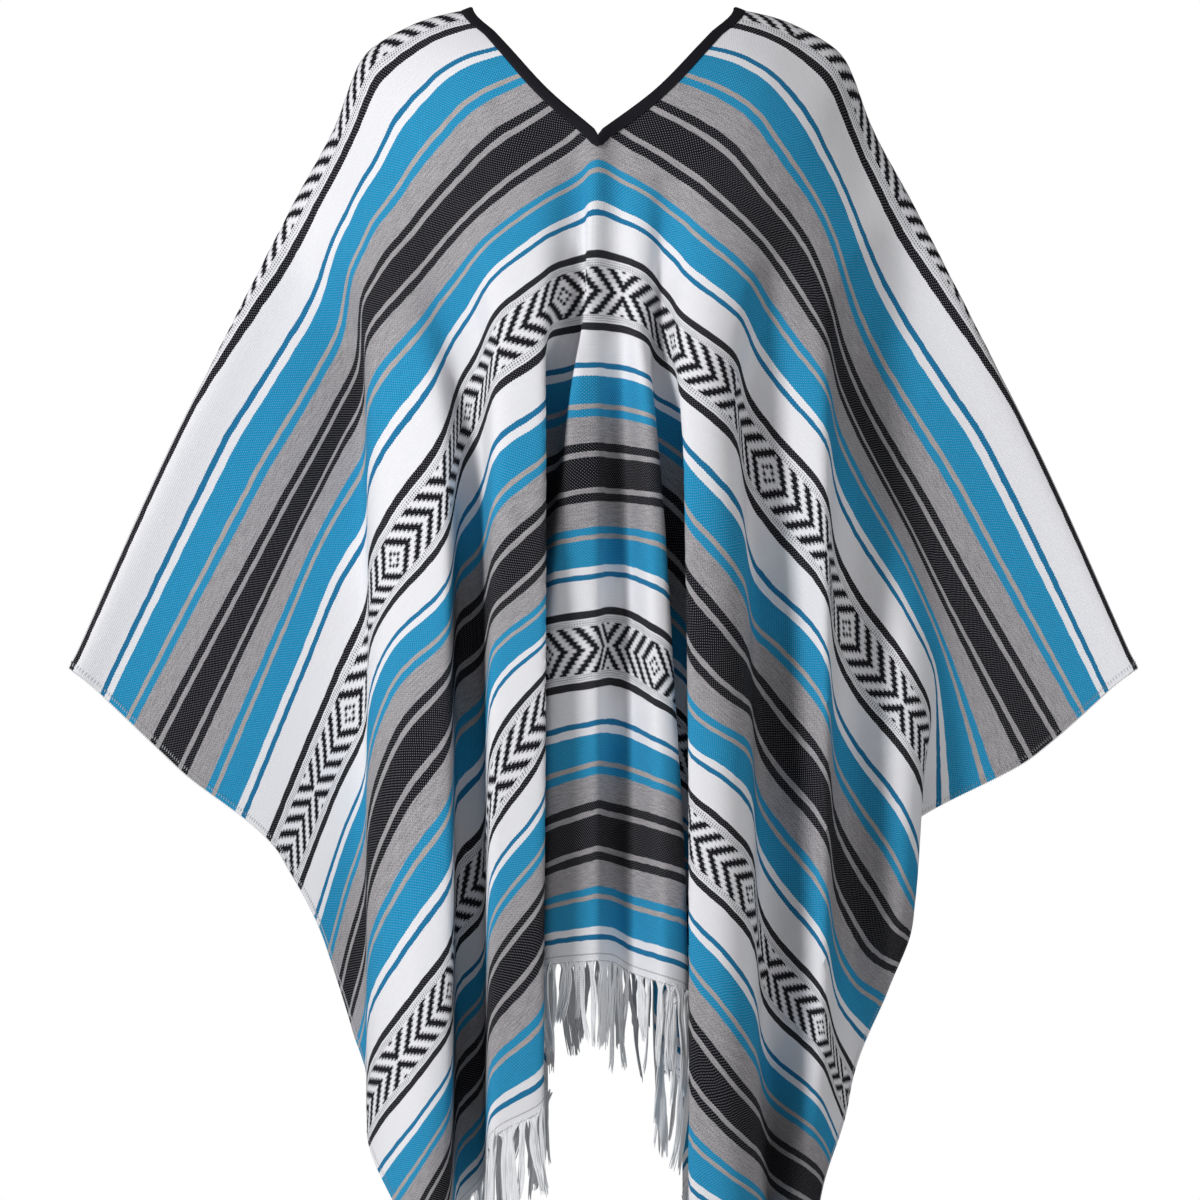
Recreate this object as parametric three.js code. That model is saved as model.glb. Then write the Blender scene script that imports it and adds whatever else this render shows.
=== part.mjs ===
// Mexican poncho, worn shape: one rectangle of striped blanket cloth laid over
// the shoulders, with a V neck cut front and back, a bound neck edge,
// overlocked side edges and a fringed hem at the front and at the back.
//
// Frame: millimetres, +Z up, the front faces -Y, the wearer's right is -X.
// The origin is the point between the tops of the shoulders at the neck,
// where the garment is held.
//
// The cloth is worked out from its flat sizes. A point of the flat rectangle is
// placed by the crests and hollows of FOLDS, at the heights that SECTIONS gives,
// and turns over the shoulders and arms in a round. The back folds as the front.
import * as THREE from 'three';

// ---- sizes of the flat cloth (mm) ---------------------------------------
const BAND = 336;                 // one repeat of the stripes, band to band
const HALF_LENGTH = 2.853 * BAND; // shoulder line to hem
const HALF_WIDTH = 812;           // neck centre to side edge
const MOTIF = HALF_WIDTH / 4.3;   // one repeat of the woven figure in a band
const NECK_HALF = 68;             // half width of the neck cut on the shoulder line
const NECK_DEPTH = 200;           // shoulder line to the point of the V
const NECK_DROP = 118;            // how far below the shoulders that point hangs
const WALL = 1.8;                 // thickness of the cloth
const GAP = 0.4;                  // clearance at seams

// ---- grid ---------------------------------------------------------------
const COLS = 30;                  // across each half
const ROWS_NECK = 3;              // shoulder line to the V's point
const ROWS_BODY = 12;             // the V's point to the hem
const ROWS_FRINGE = 1;            // below the hem

// ---- binding and fringe -------------------------------------------------
const BIND_WIDTH = 9.5;
const BIND_WALL = 1.1;
const FRINGE = 110;
const FRINGE_WALL = 1.8;
const FRINGE_GAP = 1.6;             // below the hem, along the cloth

// ---- the wearer's shoulder and arm line: x and z, for the -X side --------
const RIDGE = [[-122, 0], [-159, -8], [-194, -23], [-222, -43], [-236, -74],
  [-244, -98], [-288, -182], [-348, -299], [-408, -420], [-493, -610]];
const ARM_FROM = 5;               // the row of RIDGE where the arm starts
const HAND_FORWARD = -60;         // y of the hand
const LEAN = 26, LEAN_FROM = 330, LEAN_TO = 540; // how far the cloth is turned back over the arms, and where
const TURN = 46, TURN_FULL = 0.9; // length and fullness of the round over the shoulder
// neck edge: part of the way to the V's point, x and z of the -X side
const NECK_EDGE = [[0.33, -90, -35], [0.66, -51, -77], [1, 0, -NECK_DROP]];
// height of the centre line by distance down the cloth
const CENTRE = [[0, 0], [NECK_DEPTH, -NECK_DROP], [BAND, -263], [2 * BAND, -592], [HALF_LENGTH, -876], [HALF_LENGTH + FRINGE, -876 - FRINGE]];

// ---- folds: a row each, [across in motifs, x, y] at each of FOLD_LEVELS; y is
// depth, negative to the front -------------------------------------------------
const FOLD_LEVELS = [0.5, 1, 1.3, 2, HALF_LENGTH / BAND]; // in bands from the shoulder line
const FOLDS = {
  right: [ // wearer's right, -X
    ['centre',        [0, -5, -110], [0, -5, -136], [0, -4, -145], [0, -5, -165], [0, -5, -170]],
    ['centre edge',   [0.06, -14, -106], [0.08, -17, -140], [0.12, -31, -156], [0.3, -48, -168], [0.5, -50, -172]],
    ['tuck',          [0.1, -20, -107], [0.15, -13, -122], [0.2, -31, -130], [0.48, -60, -140], [0.72, -62, -148]],
    ['first hollow',  [0.15, -28, -108], [0.21, -20, -116], [0.31, -40, -104], [0.66, -66, -108], [1, -68, -94]],
    ['first hollow',  [0.2, -36, -109], [0.28, -30, -121], [0.45, -69, -98], [0.8, -92, -108], [1.14, -94, -94]],
    ['pleat wall',    [0.28, -52, -110], [0.37, -42, -141], [0.58, -77, -142], [1.03, -86, -150], [1.45, -90, -150]],
    ['pleat crest',   [0.42, -80, -112], [0.54, -56, -160], [0.76, -51, -176], [1.38, -52, -202], [2.02, -54, -206]],
    ['pleat outer',   [0.7, -122, -112], [0.83, -97, -166], [1.15, -99, -184], [1.9, -103, -208], [2.55, -103, -213]],
    ['deep hollow',   [0.95, -152, -106], [1.15, -112, -120], [1.5, -112, -114], [2.5, -110, -110], [3, -110, -114]],
    ['deep hollow',   [1.15, -172, -102], [1.45, -132, -114], [1.78, -135, -110], [2.7, -137, -108], [3.2, -135, -112]],
    ['side crest',    [1.35, -194, -102], [1.83, -144, -158], [2.27, -142, -170], [3.3, -139, -182], [3.8, -142, -174]],
    ['side face',     [1.52, -208, -98], [2.38, -196, -150], [2.72, -192, -160], [3.6, -165, -186], [4.2, -160, -196]],
    ['side outer',    [1.68, -220, -84], [2.78, -216, -112], [3.22, -217, -118], [4.25, -217, -120], [5, -190, -215]],
    ['side wall',     [2.02, -221, -34], [3.08, -216, -52], [3.5, -218, -56], [4.5, -217, -66], [5.2, -196, -150]],
    ['under arm',     [2.3, -240, -30], [3.4, -240, -44], [3.85, -236, -44], [4.8, -224, -56], [5.5, -200, -100]],
    ['cuff',          [4.35, -398, -46], [4.4, -300, -35], [4.9, -280, -36], [5.6, -230, -40], [6.3, -230, -60]],
  ],
  left: [ // wearer's left, +X
    ['centre',        [0, -5, -110], [0, -5, -136], [0, -4, -145], [0, -5, -165], [0, -5, -170]],
    ['centre dip',    [0.06, 6, -104], [0.08, 6, -122], [0.1, 4, -130], [0.17, 3, -142], [0.15, 7, -152]],
    ['centre dip',    [0.12, 16, -104], [0.18, 20, -118], [0.22, 20, -122], [0.32, 20, -128], [0.4, 24, -136]],
    ['centre bulge',  [0.18, 28, -106], [0.25, 28, -134], [0.38, 37, -156], [0.67, 47, -184], [0.75, 55, -188]],
    ['centre edge',   [0.22, 37, -107], [0.31, 36, -130], [0.5, 48, -149], [0.93, 66, -174], [1.1, 78, -177]],
    ['tuck',          [0.27, 48, -108], [0.37, 42, -126], [0.6, 46, -126], [1.08, 50, -150], [1.3, 58, -156]],
    ['deep hollow',   [0.31, 56, -108], [0.44, 46, -113], [0.72, 44, -108], [1.37, 45, -115], [1.72, 50, -110]],
    ['deep hollow',   [0.36, 66, -109], [0.52, 52, -110], [0.86, 68, -108], [1.53, 76, -113], [1.87, 84, -108]],
    ['pleat wall',    [0.44, 82, -110], [0.61, 62, -126], [1, 88, -144], [1.88, 90, -170], [2.4, 104, -182]],
    ['pleat crest',   [0.55, 100, -112], [0.74, 68, -154], [1.15, 72, -184], [2.14, 77, -210], [2.7, 76, -228]],
    ['pleat face',    [0.75, 126, -112], [0.95, 95, -168], [1.4, 102, -188], [2.42, 108, -216], [3, 110, -232]],
    ['pleat outer',   [0.95, 149, -110], [1.15, 120, -154], [1.65, 130, -164], [2.72, 138, -182], [3.35, 144, -190]],
    ['step',          [1.15, 170, -103], [1.42, 128, -106], [1.9, 136, -108], [3.05, 143, -122], [3.5, 149, -112]],
    ['step',          [1.35, 188, -100], [1.67, 152, -110], [2.15, 158, -112], [3.25, 158, -120], [3.75, 156, -122]],
    ['side crest',    [1.62, 208, -96], [2.17, 206, -142], [2.62, 207, -148], [3.67, 201, -160], [4.02, 172, -148]],
    ['side step',     [1.84, 216, -62], [2.48, 212, -94], [2.95, 212, -96], [4.05, 214, -110], [4.3, 190, -114]],
    ['side step',     [2.08, 230, -42], [2.75, 230, -76], [3.2, 230, -78], [4.3, 226, -90], [4.6, 190, -170]],
    ['side edge',     [2.8, 283, -50], [3.2, 280, -96], [3.7, 274, -96], [4.8, 245, -80], [5.4, 200, -180]],
    ['behind edge',   [3.3, 320, -52], [3.5, 298, -76], [4.1, 288, -74], [5.2, 255, -70], [5.8, 210, -190]],
    ['cuff',          [4.35, 402, -46], [4.4, 264, -36], [4.95, 262, -44], [6, 260, -60], [6.4, 220, -200]],
  ],
};
const foldsOf = (h) => (h === 0 ? FOLDS.right : FOLDS.left);

// ---- heights of the front: `down` is in bands from the shoulder line, `at` lists
// [across in motifs, z] ---------------------------------------------------------
const SECTIONS = [
  { side: -1, down: 0.5, at: [[0.5, -152], [0.95, -202], [1.3, -244], [1.63, -282], [2.15, -363], [2.87, -474], [3.4, -557], [4.3, -701]] },
  { side: 1, down: 0.5, at: [[0.48, -147], [0.91, -193], [1.27, -239], [1.65, -299], [2.06, -363], [2.43, -419], [3.04, -511], [4.3, -692]] },
  { side: -1, down: 1, at: [[0.05, -263], [0.33, -268], [0.83, -315], [1.33, -374], [1.83, -443], [2.33, -511], [2.83, -570], [3.33, -653], [3.83, -724], [4.3, -790]] },
  { side: 1, down: 1, at: [[0.17, -266], [0.67, -310], [1.17, -362], [1.67, -431], [2.17, -502], [2.67, -574], [3.17, -644]] },
  { side: -1, down: 1.5, at: [[0, -432], [0.18, -435], [0.92, -483], [1.37, -538], [2.56, -639], [3.54, -796], [4.3, -915]] },
  { side: 1, down: 1.5, at: [[0.62, -437], [1.41, -547], [1.93, -621], [2.2, -637], [2.65, -695], [3.18, -765], [3.6, -822], [3.95, -864], [4.3, -890]] },
  { side: -1, down: 2, at: [[0.3, -598], [1.35, -639], [1.9, -727], [3.3, -902], [3.83, -970], [4.3, -1026]] },
  { side: 1, down: 2, at: [[0.17, -589], [0.67, -608], [2.17, -760], [2.67, -817], [3.17, -887], [3.67, -940], [4.3, -1000]] },
  { side: -1, down: 2.5, at: [[0, -764], [0.42, -773], [1.72, -823], [2.31, -902]] },
  { side: 1, down: 2.5, at: [[1.03, -782], [2.46, -938], [3.06, -1026]] },
  { side: -1, down: 2.85, at: [[0.5, -880], [2, -1007], [2.55, -1040], [3.15, -1099], [4.3, -1246]] },
  { side: 1, down: 2.85, at: [[0.15, -877], [0.35, -885], [1.1, -908], [2.7, -1102], [4.3, -1206]] },
];
// ---- heights of the side edges: [down in bands, z] ------------------------------
const SIDE_EDGES = [
  { side: -1, at: [[0.204, -645], [0.429, -689], [0.69, -732], [0.903, -776], [1, -790], [1.1, -816], [1.27, -858], [1.45, -908], [1.67, -961], [1.9, -1005], [2.1, -1049], [2.33, -1099]] },
  { side: 1, at: [[0.204, -644], [0.429, -680], [0.69, -721], [0.89, -760], [1, -777], [1.2, -810], [1.42, -850], [1.69, -933], [1.9, -983], [2.1, -1027], [2.24, -1043], [2.47, -1090]] },
];
// the back folds as the front does, a little inside its outline
const BACK_NARROW = 0.95, BACK_DEPTH = 0.9;

// ===========================================================================
const lerp = (a, b, t) => a + (b - a) * t;
const clamp = (v, lo, hi) => Math.min(Math.max(v, lo), hi);
const spanOf = (x, xs) => {
  let k = 0;
  while (k < xs.length - 2 && xs[k + 1] <= x) k++;
  return k;
};
// straight lines through points
// a smooth curve through points, which never overshoots them
function curve(x, xs, ys) {
  const slope = (k) => (ys[k + 1] - ys[k]) / (xs[k + 1] - xs[k]);
  const tangent = (k) => {
    if (k === 0) return slope(0);
    if (k === xs.length - 1) return slope(k - 1);
    const a = slope(k - 1), b = slope(k);
    if (a * b <= 0) return 0;
    const ha = xs[k] - xs[k - 1], hb = xs[k + 1] - xs[k];
    return (3 * ha + 3 * hb) / ((2 * hb + ha) / a + (hb + 2 * ha) / b);
  };
  const q = clamp(x, xs[0], xs[xs.length - 1]), k = spanOf(q, xs);
  const h = xs[k + 1] - xs[k], t = (q - xs[k]) / h;
  return (2 * t ** 3 - 3 * t ** 2 + 1) * ys[k] + (t ** 3 - 2 * t ** 2 + t) * h * tangent(k)
    + (3 * t ** 2 - 2 * t ** 3) * ys[k + 1] + (t ** 3 - t ** 2) * h * tangent(k + 1);
}
const column = (table, k) => table.map((row) => row[k]);

// flat grid: row positions (negative to the back), columns from the neck cut
// (or the centre line) to the side; the last rows at each end are fringe
const notch = (u) => NECK_HALF * Math.max(0, 1 - Math.abs(u) / NECK_DEPTH);
const half = [];
for (let k = 1; k <= ROWS_NECK; k++) half.push(NECK_DEPTH * k / ROWS_NECK);
for (let k = 1; k <= ROWS_BODY; k++) half.push(NECK_DEPTH + (HALF_LENGTH - NECK_DEPTH) * k / ROWS_BODY);
for (let k = 1; k <= ROWS_FRINGE; k++) half.push(HALF_LENGTH + FRINGE * k / ROWS_FRINGE);
const rows = [...half.map((u) => -u).reverse(), 0, ...half];
const open = rows.map((u) => Math.abs(u) < NECK_DEPTH - 1e-6); // rows that the neck cuts
const NC = COLS + 1;
const acrossOf = (i, r) => lerp(notch(rows[r]), HALF_WIDTH, i / COLS);
const sideOf = (h) => (h === 0 ? -1 : 1);

// shoulder and arm line by distance along it
const [armX, armZ] = RIDGE[ARM_FROM], hand = RIDGE[RIDGE.length - 1];
const ridgeXYZ = RIDGE.map(([x, z], k) => {
  const reach = Math.hypot(x - armX, z - armZ) / Math.hypot(hand[0] - armX, hand[1] - armZ);
  return [x, k > ARM_FROM ? HAND_FORWARD * reach : 0, z];
});
const ridgeLen = [0];
for (let k = 1; k < ridgeXYZ.length; k++) {
  const [a, b] = [ridgeXYZ[k - 1], ridgeXYZ[k]];
  ridgeLen.push(ridgeLen[k - 1] + Math.hypot(b[0] - a[0], b[1] - a[1], b[2] - a[2]));
}
function ridge(across, side) {
  const t = clamp((across - NECK_HALF) / (HALF_WIDTH - NECK_HALF), 0, 1) * ridgeLen[ridgeLen.length - 1];
  const p = [0, 1, 2].map((k) => curve(t, ridgeLen, column(ridgeXYZ, k)));
  return [side * Math.abs(p[0]), p[1], p[2]];
}

// x and y from FOLDS; `down` is the distance below the shoulder line, `face` is
// 1 on the front and -1 on the back
const LEVELS = [0, ...FOLD_LEVELS, (HALF_LENGTH + FRINGE) / BAND];
function foldXY(h, face, across, down) {
  const q = Math.min(down / BAND, LEVELS[LEVELS.length - 1]), A = [], X = [], Y = [];
  for (const [, ...knots] of foldsOf(h)) {
    const levels = [...knots, knots[knots.length - 1]]; // the fringe hangs on as the hem
    const start = levels[0][0] * MOTIF, top = ridge(Math.max(start, NECK_HALF), sideOf(h));
    const x = levels.map((w, k) => w[1] * (face > 0 ? 1 : lerp(1, BACK_NARROW, Math.min(LEVELS[k + 1], 1))));
    const y = levels.map((w) => w[2] * (face > 0 ? 1 : -BACK_DEPTH));
    const a = curve(q, LEVELS, [levels[0][0], ...column(levels, 0)]) * MOTIF;
    A.push(Math.max(a, A.length ? A[A.length - 1] + 0.001 : 0));
    X.push(curve(q, LEVELS, [top[0] * Math.min(start / NECK_HALF, 1), ...x]));
    // the depth grows fastest just below the shoulder
    Y.push(q <= LEVELS[1] ? lerp(top[1], y[0], 1 - (1 - q / LEVELS[1]) ** 1.7) : curve(q, LEVELS.slice(1), y));
  }
  return [curve(across, A, X), curve(across, A, Y)];
}

// heights from SECTIONS, the centre line and the side edge
const sectionOf = (side, level) => SECTIONS.find((s) => s.side === side && Math.abs(s.down - level) < 0.01).at;
function edgeZ(side, down) {
  const hem = sectionOf(side, 2.85), end = hem[hem.length - 1][1];
  const edge = SIDE_EDGES.find((s) => s.side === side).at.map(([d, z]) => [d * BAND, z]);
  const all = [[0, hand[1]], ...edge, [HALF_LENGTH, end], [HALF_LENGTH + FRINGE, end - FRINGE]];
  return curve(down, column(all, 0), column(all, 1));
}
const heights = [-1, 1].map((side) => [0.5, 1, 1.5, 2, 2.5, HALF_LENGTH / BAND, (HALF_LENGTH + FRINGE) / BAND].map((level) => {
  const down = level * BAND, drop = down > HALF_LENGTH ? FRINGE : 0;
  const inside = sectionOf(side, Math.min(level, 2.85)).filter(([a]) => a > 0 && a < 4.29);
  return {
    down,
    A: [0, ...inside.map((w) => w[0] * MOTIF), HALF_WIDTH],
    Z: [curve(down, column(CENTRE, 0), column(CENTRE, 1)), ...inside.map((w) => w[1] - drop), edgeZ(side, down)],
  };
}));
function height(h, across, down) {
  return curve(down, [0, ...heights[h].map((w) => w.down)],
    [ridge(across, sideOf(h))[2], ...heights[h].map((w) => curve(across, w.A, w.Z))]);
}

// a point of a face below the shoulder line
const cutAt = [0, ...column(NECK_EDGE, 0)];
const cutX = [RIDGE[0][0], ...column(NECK_EDGE, 1)], cutZ = [0, ...column(NECK_EDGE, 2)];
function hung(h, face, across, down) {
  let [x, y] = foldXY(h, face, across, down), z = height(h, across, down);
  if (down < NECK_DEPTH) { // by the neck the cloth follows the cut edge
    const beside = notch(down), share = down / NECK_DEPTH;
    const f = clamp((across - beside) / (2.5 * NECK_HALF), 0, 1), fade = 1 - f * f * (3 - 2 * f);
    x += fade * (-sideOf(h) * curve(share, cutAt, cutX) - foldXY(h, face, beside, down)[0]);
    z += fade * (curve(share, cutAt, cutZ) - height(h, beside, down));
  }
  return new THREE.Vector3(x, y, z);
}
// the point of the cloth at a flat point: u is negative on the back
function draped(h, across, u) {
  const lean = LEAN * clamp((across - LEAN_FROM) / (LEAN_TO - LEAN_FROM), 0, 1), face = u >= lean ? 1 : -1;
  const down = Math.abs(u) < BAND ? Math.abs(u - lean) * BAND / (BAND - face * lean) : Math.abs(u);
  if (down >= TURN) return hung(h, face, across, down);
  // over the shoulder and the arm the cloth turns in a round
  const t = down / TURN, step = 4;
  const way = hung(h, face, across, TURN + step).sub(hung(h, face, across, TURN - step)).divideScalar(2 * step);
  return new THREE.Vector3(...ridge(across, sideOf(h))).multiplyScalar(2 * t ** 3 - 3 * t ** 2 + 1)
    .addScaledVector(new THREE.Vector3(0, -face, 0), (t ** 3 - 2 * t ** 2 + t) * TURN * TURN_FULL)
    .addScaledVector(hung(h, face, across, TURN), 3 * t ** 2 - 2 * t ** 3)
    .addScaledVector(way, (t ** 3 - t ** 2) * TURN);
}
const points = [0, 1].map((h) => Array.from({ length: NC }, (_, i) => rows.map((u, r) => draped(h, acrossOf(i, r), u))));
rows.forEach((u, r) => { // the two halves share the centre line below the neck
  if (open[r]) return;
  const middle = points[0][0][r].clone().add(points[1][0][r]).multiplyScalar(0.5);
  points[0][0][r] = points[1][0][r] = middle;
});

// ---- the cloth's faces ----------------------------------------------------
// The solid has one more column than the grid, where the binding's edge lies.
const NR = rows.length, FC = NC + 1;
const hemBack = ROWS_FRINGE, hemFront = NR - 1 - ROWS_FRINGE;
const pointBack = open.indexOf(true) - 1, pointFront = open.lastIndexOf(true) + 1;
const at = (h, i, r) => points[h][i][r].clone();
const flatAcross = (f, r) => (f === 1 ? acrossOf(0, r) + BIND_WIDTH : acrossOf(Math.max(f - 1, 0), r));
function mid(h, f, r) {
  if (f !== 1) return at(h, Math.max(f - 1, 0), r);
  return at(h, 0, r).lerp(at(h, 1, r), BIND_WIDTH / (flatAcross(2, r) - flatAcross(0, r)));
}
// normals, pointing out of the garment, averaged over the faces round a point
const normals = [0, 1].map(() => Array.from({ length: FC * NR }, () => new THREE.Vector3()));
for (let h = 0; h < 2; h++) {
  for (let f = 0; f + 1 < FC; f++) {
    for (let j = 0; j + 1 < NR; j++) {
      const a = mid(h, f, j), b = mid(h, f + 1, j), c = mid(h, f, j + 1), d = mid(h, f + 1, j + 1);
      const across = b.clone().sub(a).add(d).sub(c), down = c.clone().sub(a).add(d).sub(b);
      const n = across.cross(down).multiplyScalar(h === 0 ? 1 : -1).normalize();
      for (const [p, q] of [[f, j], [f + 1, j], [f, j + 1], [f + 1, j + 1]]) normals[h][p * NR + q].add(n);
    }
  }
}
for (let j = 0; j < NR; j++) {
  if (open[j]) continue;
  const s = normals[0][j].clone().add(normals[1][j]);
  normals[0][j].copy(s); normals[1][j].copy(s);
}
for (const set of normals) for (const n of set) n.normalize();
const normal = (h, f, j) => normals[h][f * NR + j];

// Each square of the grid is split along the diagonal that the folded cloth
// bends least across. Under the V's point the split is fixed, so the binding
// there lies over one flat face.
function slant(h, f, j) {
  if (f === 0 && j === pointFront) return false;
  if (f === 0 && j === pointBack - 1) return true;
  const kept = (f1, j1, f2, j2) => mid(h, f1, j1).distanceTo(mid(h, f2, j2))
    / Math.hypot(flatAcross(f1, j1) - flatAcross(f2, j2), rows[j1] - rows[j2]);
  return kept(f, j, f + 1, j + 1) >= kept(f + 1, j, f, j + 1);
}

// ---- small mesh builder -----------------------------------------------------
class Solid {
  constructor() { this.p = []; this.t = []; }
  add(v) { this.p.push(v.x, v.y, v.z); return this.p.length / 3 - 1; }
  tri(a, b, c) { if (a !== b && b !== c && a !== c) this.t.push(a, b, c); }
  quad(a, b, c, d, ac = true) {
    if (ac) { this.tri(a, b, c); this.tri(a, c, d); } else { this.tri(a, b, d); this.tri(b, c, d); }
  }
  mesh(name, color, roughness) {
    const g = new THREE.BufferGeometry();
    g.setAttribute('position', new THREE.BufferAttribute(new Float32Array(this.p), 3));
    // turn the faces outwards if the enclosed volume came out negative
    let vol = 0;
    for (let k = 0; k < this.t.length; k += 3) {
      const [a, b, c] = [0, 1, 2].map((q) => new THREE.Vector3().fromArray(this.p, this.t[k + q] * 3));
      vol += a.dot(b.cross(c));
    }
    if (vol < 0) for (let k = 0; k < this.t.length; k += 3) [this.t[k + 1], this.t[k + 2]] = [this.t[k + 2], this.t[k + 1]];
    g.setIndex(this.t);
    g.computeVertexNormals();
    const m = new THREE.Mesh(g, new THREE.MeshStandardMaterial({ color, roughness, metalness: 0 }));
    m.name = name;
    return m;
  }
}

// ---- cloth --------------------------------------------------------------------
function buildCloth() {
  const s = new Solid();
  const top = {}, bot = {};
  const key = (h, f, j) => (f === 0 && !open[j] ? `c${j}` : `${h},${f},${j}`);
  for (let h = 0; h < 2; h++) {
    for (let f = 0; f < FC; f++) {
      for (let j = hemBack; j <= hemFront; j++) {
        const k = key(h, f, j);
        if (k in top) continue;
        const m = mid(h, f, j), n = normal(h, f, j);
        top[k] = s.add(m.clone().addScaledVector(n, WALL / 2));
        bot[k] = s.add(m.clone().addScaledVector(n, -WALL / 2));
      }
    }
  }
  const wall = (k1, k2, flip) => { // a strip of edge between two grid points
    if (flip) s.quad(top[k2], top[k1], bot[k1], bot[k2]); else s.quad(top[k1], top[k2], bot[k2], bot[k1]);
  };
  for (let h = 0; h < 2; h++) {
    for (let f = 0; f + 1 < FC; f++) {
      for (let j = hemBack; j < hemFront; j++) {
        const a = key(h, f, j), b = key(h, f + 1, j), c = key(h, f + 1, j + 1), d = key(h, f, j + 1);
        const ac = slant(h, f, j);
        const [up, low] = h === 0 ? [top, bot] : [bot, top];
        s.quad(up[a], up[b], up[c], up[d], ac);
        s.quad(low[d], low[c], low[b], low[a], !ac);
      }
    }
    for (let j = hemBack; j < hemFront; j++) {
      wall(key(h, FC - 1, j), key(h, FC - 1, j + 1), h === 0);
      if (open[j] || open[j + 1]) wall(key(h, 0, j), key(h, 0, j + 1), h !== 0);
    }
    for (let f = 0; f + 1 < FC; f++) {
      wall(key(h, f, hemBack), key(h, f + 1, hemBack), h === 0);
      wall(key(h, f, hemFront), key(h, f + 1, hemFront), h !== 0);
    }
  }
  return s.mesh('cloth', 0x9aa7b4, 0.9);
}

// ---- neck binding: a folded strip round the neck edge ---------------------------
// Eight points a section: 0 3 4 7 at the strip's edge on the cloth, 1 2 5 6 past
// the cut. At each V's point three sections share their outer four.
function buildBinding() {
  const s = new Solid();
  const near = WALL / 2 + GAP, far = near + BIND_WALL;
  const off = (p, n, d) => s.add(p.clone().addScaledVector(n, d));
  const inner = (p, n) => ({ 0: off(p, n, far), 3: off(p, n, -far), 4: off(p, n, -near), 7: off(p, n, near) });
  const outer = (p, w, n, k) => {
    const fold = p.clone().addScaledVector(w, -k * GAP), rim = p.clone().addScaledVector(w, -k * (GAP + BIND_WALL));
    return { 1: off(rim, n, far), 2: off(rim, n, -far), 5: off(fold, n, -near), 6: off(fold, n, near) };
  };
  const ring = [];
  const side = (h, j) => {
    const e = mid(h, 0, j), i = mid(h, 1, j);
    ring.push({ h, j, ...inner(i, normal(h, 1, j)), ...outer(e, i.clone().sub(e).normalize(), normal(h, 0, j), 1) });
  };
  const point = (j, way, from) => {
    const e = mid(0, 0, j), below = mid(0, 0, j + way), n = normal(0, 0, j);
    const t = BIND_WIDTH / e.distanceTo(below);
    const narrow = mid(0, 0, j - way).distanceTo(mid(1, 0, j - way)) / 2 / e.distanceTo(mid(0, 0, j - way));
    const shared = outer(e, below.clone().sub(e).normalize(), n, 1 / narrow);
    const tip = { h: from, j, ...inner(e.clone().lerp(below, t), n.clone().lerp(normal(0, 0, j + way), t)), ...shared };
    const wings = [from, 1 - from].map((h) => ({ h, j, ...inner(mid(h, 1, j), normal(h, 1, j)), ...shared }));
    ring.push(wings[0], tip, wings[1]);
  };
  point(pointBack, -1, 1);
  for (let j = pointBack + 1; j < pointFront; j++) side(0, j);
  point(pointFront, 1, 0);
  for (let j = pointFront - 1; j > pointBack; j--) side(1, j);
  ring.forEach((a, r) => {
    const b = ring[(r + 1) % ring.length];
    // true when the split runs from a's cut to b's strip edge
    const cutToEdge = a.j === b.j ? true : slant(b.h, 0, Math.min(a.j, b.j)) === (a.j < b.j);
    for (let k = 0; k < 8; k++) {
      const k1 = (k + 1) % 8;
      const ac = k === 0 || k === 4 ? !cutToEdge : cutToEdge;
      s.quad(a[k], a[k1], b[k1], b[k], ac);
    }
  });
  return s.mesh('neck_binding', 0x15161a, 0.8);
}

// ---- fringe: the plain solid of its reach, hanging on from a hem ----------------
function buildFringe(name, hem, way) {
  const s = new Solid();
  const path = [], last = ROWS_FRINGE;
  for (let f = FC - 1; f >= 1; f--) path.push([0, f]);
  for (let f = 0; f < FC; f++) path.push([1, f]);
  const grid = path.map(([h, f], p) => {
    const column = [];
    for (let k = 0; k <= last; k++) {
      const j = hem + way * k, n = normal(h, f, j), c = mid(h, f, j);
      if (k === 0) {
        const next = mid(...path[Math.min(p + 1, path.length - 1)], j), before = mid(...path[Math.max(p - 1, 0)], j);
        const down = next.sub(before).cross(n).normalize();
        c.addScaledVector(down, FRINGE_GAP * Math.sign(down.dot(mid(h, f, j + way).sub(c))));
      }
      column.push([s.add(c.clone().addScaledVector(n, FRINGE_WALL / 2)), s.add(c.clone().addScaledVector(n, -FRINGE_WALL / 2))]);
    }
    return column;
  });
  const end = grid.length - 1;
  for (let k = 0; k < end; k++) {
    for (let q = 0; q < last; q++) {
      s.quad(grid[k][q][0], grid[k + 1][q][0], grid[k + 1][q + 1][0], grid[k][q + 1][0]);
      s.quad(grid[k][q][1], grid[k][q + 1][1], grid[k + 1][q + 1][1], grid[k + 1][q][1]);
    }
    s.quad(grid[k][0][0], grid[k][0][1], grid[k + 1][0][1], grid[k + 1][0][0]);
    s.quad(grid[k][last][0], grid[k + 1][last][0], grid[k + 1][last][1], grid[k][last][1]);
  }
  for (let q = 0; q < last; q++) {
    s.quad(grid[0][q][0], grid[0][q + 1][0], grid[0][q + 1][1], grid[0][q][1]);
    s.quad(grid[end][q][0], grid[end][q][1], grid[end][q + 1][1], grid[end][q + 1][0]);
  }
  return s.mesh(name, 0xe6e8ec, 0.9);
}

const group = new THREE.Group();
group.add(buildCloth(), buildBinding(), buildFringe('fringe_front', hemFront, 1), buildFringe('fringe_back', hemBack, -1));

export default group;
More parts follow.
